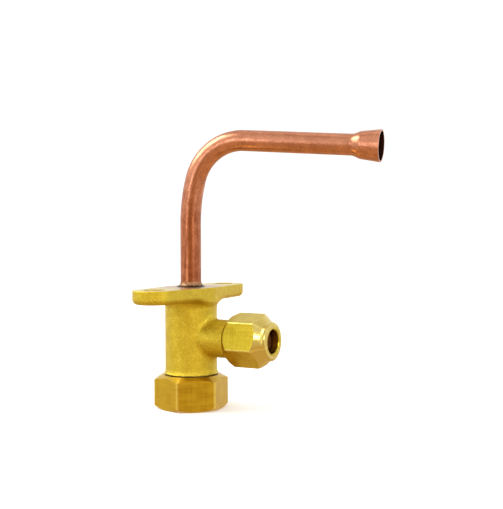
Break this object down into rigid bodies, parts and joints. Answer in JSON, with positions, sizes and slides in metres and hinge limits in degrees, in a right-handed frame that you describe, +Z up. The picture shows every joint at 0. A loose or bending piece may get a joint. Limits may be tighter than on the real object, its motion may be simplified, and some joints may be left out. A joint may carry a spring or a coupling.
{
  "type": "refrigerant service valve",
  "caption": "Brass angle service valve with a flanged body, a bent copper tube, a hexagon cap over the stem and a flare nut on the side port.",
  "frame": {"origin": "centre of the flange's mounting face, on the axis of the valve stem", "axes": "+Z up along the copper tube's foot and the stem's axis, +X along the flare port, the flange's two holes along Y"},
  "size_m": [0.0695, 0.0516, 0.0843],
  "materials": {
    "forged_brass": "fine sand-blasted forging, machined flange face",
    "copper": "drawn copper tube, lightly tarnished",
    "braze_alloy": "oxidised brazing alloy",
    "stem_brass": "turned",
    "seal_rubber": "satin",
    "spring_steel": "phosphated",
    "cap_brass": "drawn hexagon bar, turned ends",
    "seal_copper": "soft copper",
    "nut_brass": "drawn hexagon bar, turned ends",
    "bonnet_copper": "drawn copper, tarnished"
  },
  "bodies": {
    "valve": {"valve_body": "forged_brass", "copper_pipe": "copper", "braze_fillet": "braze_alloy", "retaining_ring": "spring_steel"},
    "cap_seal": {"cap_seal": "seal_copper"},
    "cap": {"cap": "cap_brass"},
    "stem_seal": {"stem_o_ring": "seal_rubber"},
    "stem": {"stem": "stem_brass"},
    "bonnet": {"flare_bonnet": "bonnet_copper"},
    "nut": {"flare_nut": "nut_brass"}
  },
  "joints": [
    {"name": "cap_travel", "type": "slide", "parent": "valve", "child": "cap_seal", "axis": [0, 0, -1], "range_m": [0, 0.007]},
    {"name": "cap_turn", "type": "hinge", "parent": "cap_seal", "child": "cap", "pos_m": [0, 0, -0.03], "axis": [0, 0, -1], "range_deg": [0, 2520]},
    {"name": "stem_travel", "type": "slide", "parent": "valve", "child": "stem_seal", "axis": [0, 0, -1], "range_m": [0, 0.003]},
    {"name": "stem_turn", "type": "hinge", "parent": "stem_seal", "child": "stem", "pos_m": [0, 0, -0.02], "axis": [0, 0, -1], "range_deg": [0, 1080]},
    {"name": "nut_travel", "type": "slide", "parent": "valve", "child": "bonnet", "axis": [1, 0, 0], "range_m": [0, 0.00762]},
    {"name": "nut_turn", "type": "hinge", "parent": "bonnet", "child": "nut", "pos_m": [0.02, 0, -0.0154], "axis": [1, 0, 0], "range_deg": [0, 2160]}
  ],
  "couplings": [
    {"joint": "cap_turn", "follows": "cap_travel", "rad_per_m": 6283.2},
    {"joint": "stem_turn", "follows": "stem_travel", "rad_per_m": 6283.2},
    {"joint": "nut_turn", "follows": "nut_travel", "rad_per_m": 4947.4}
  ]
}
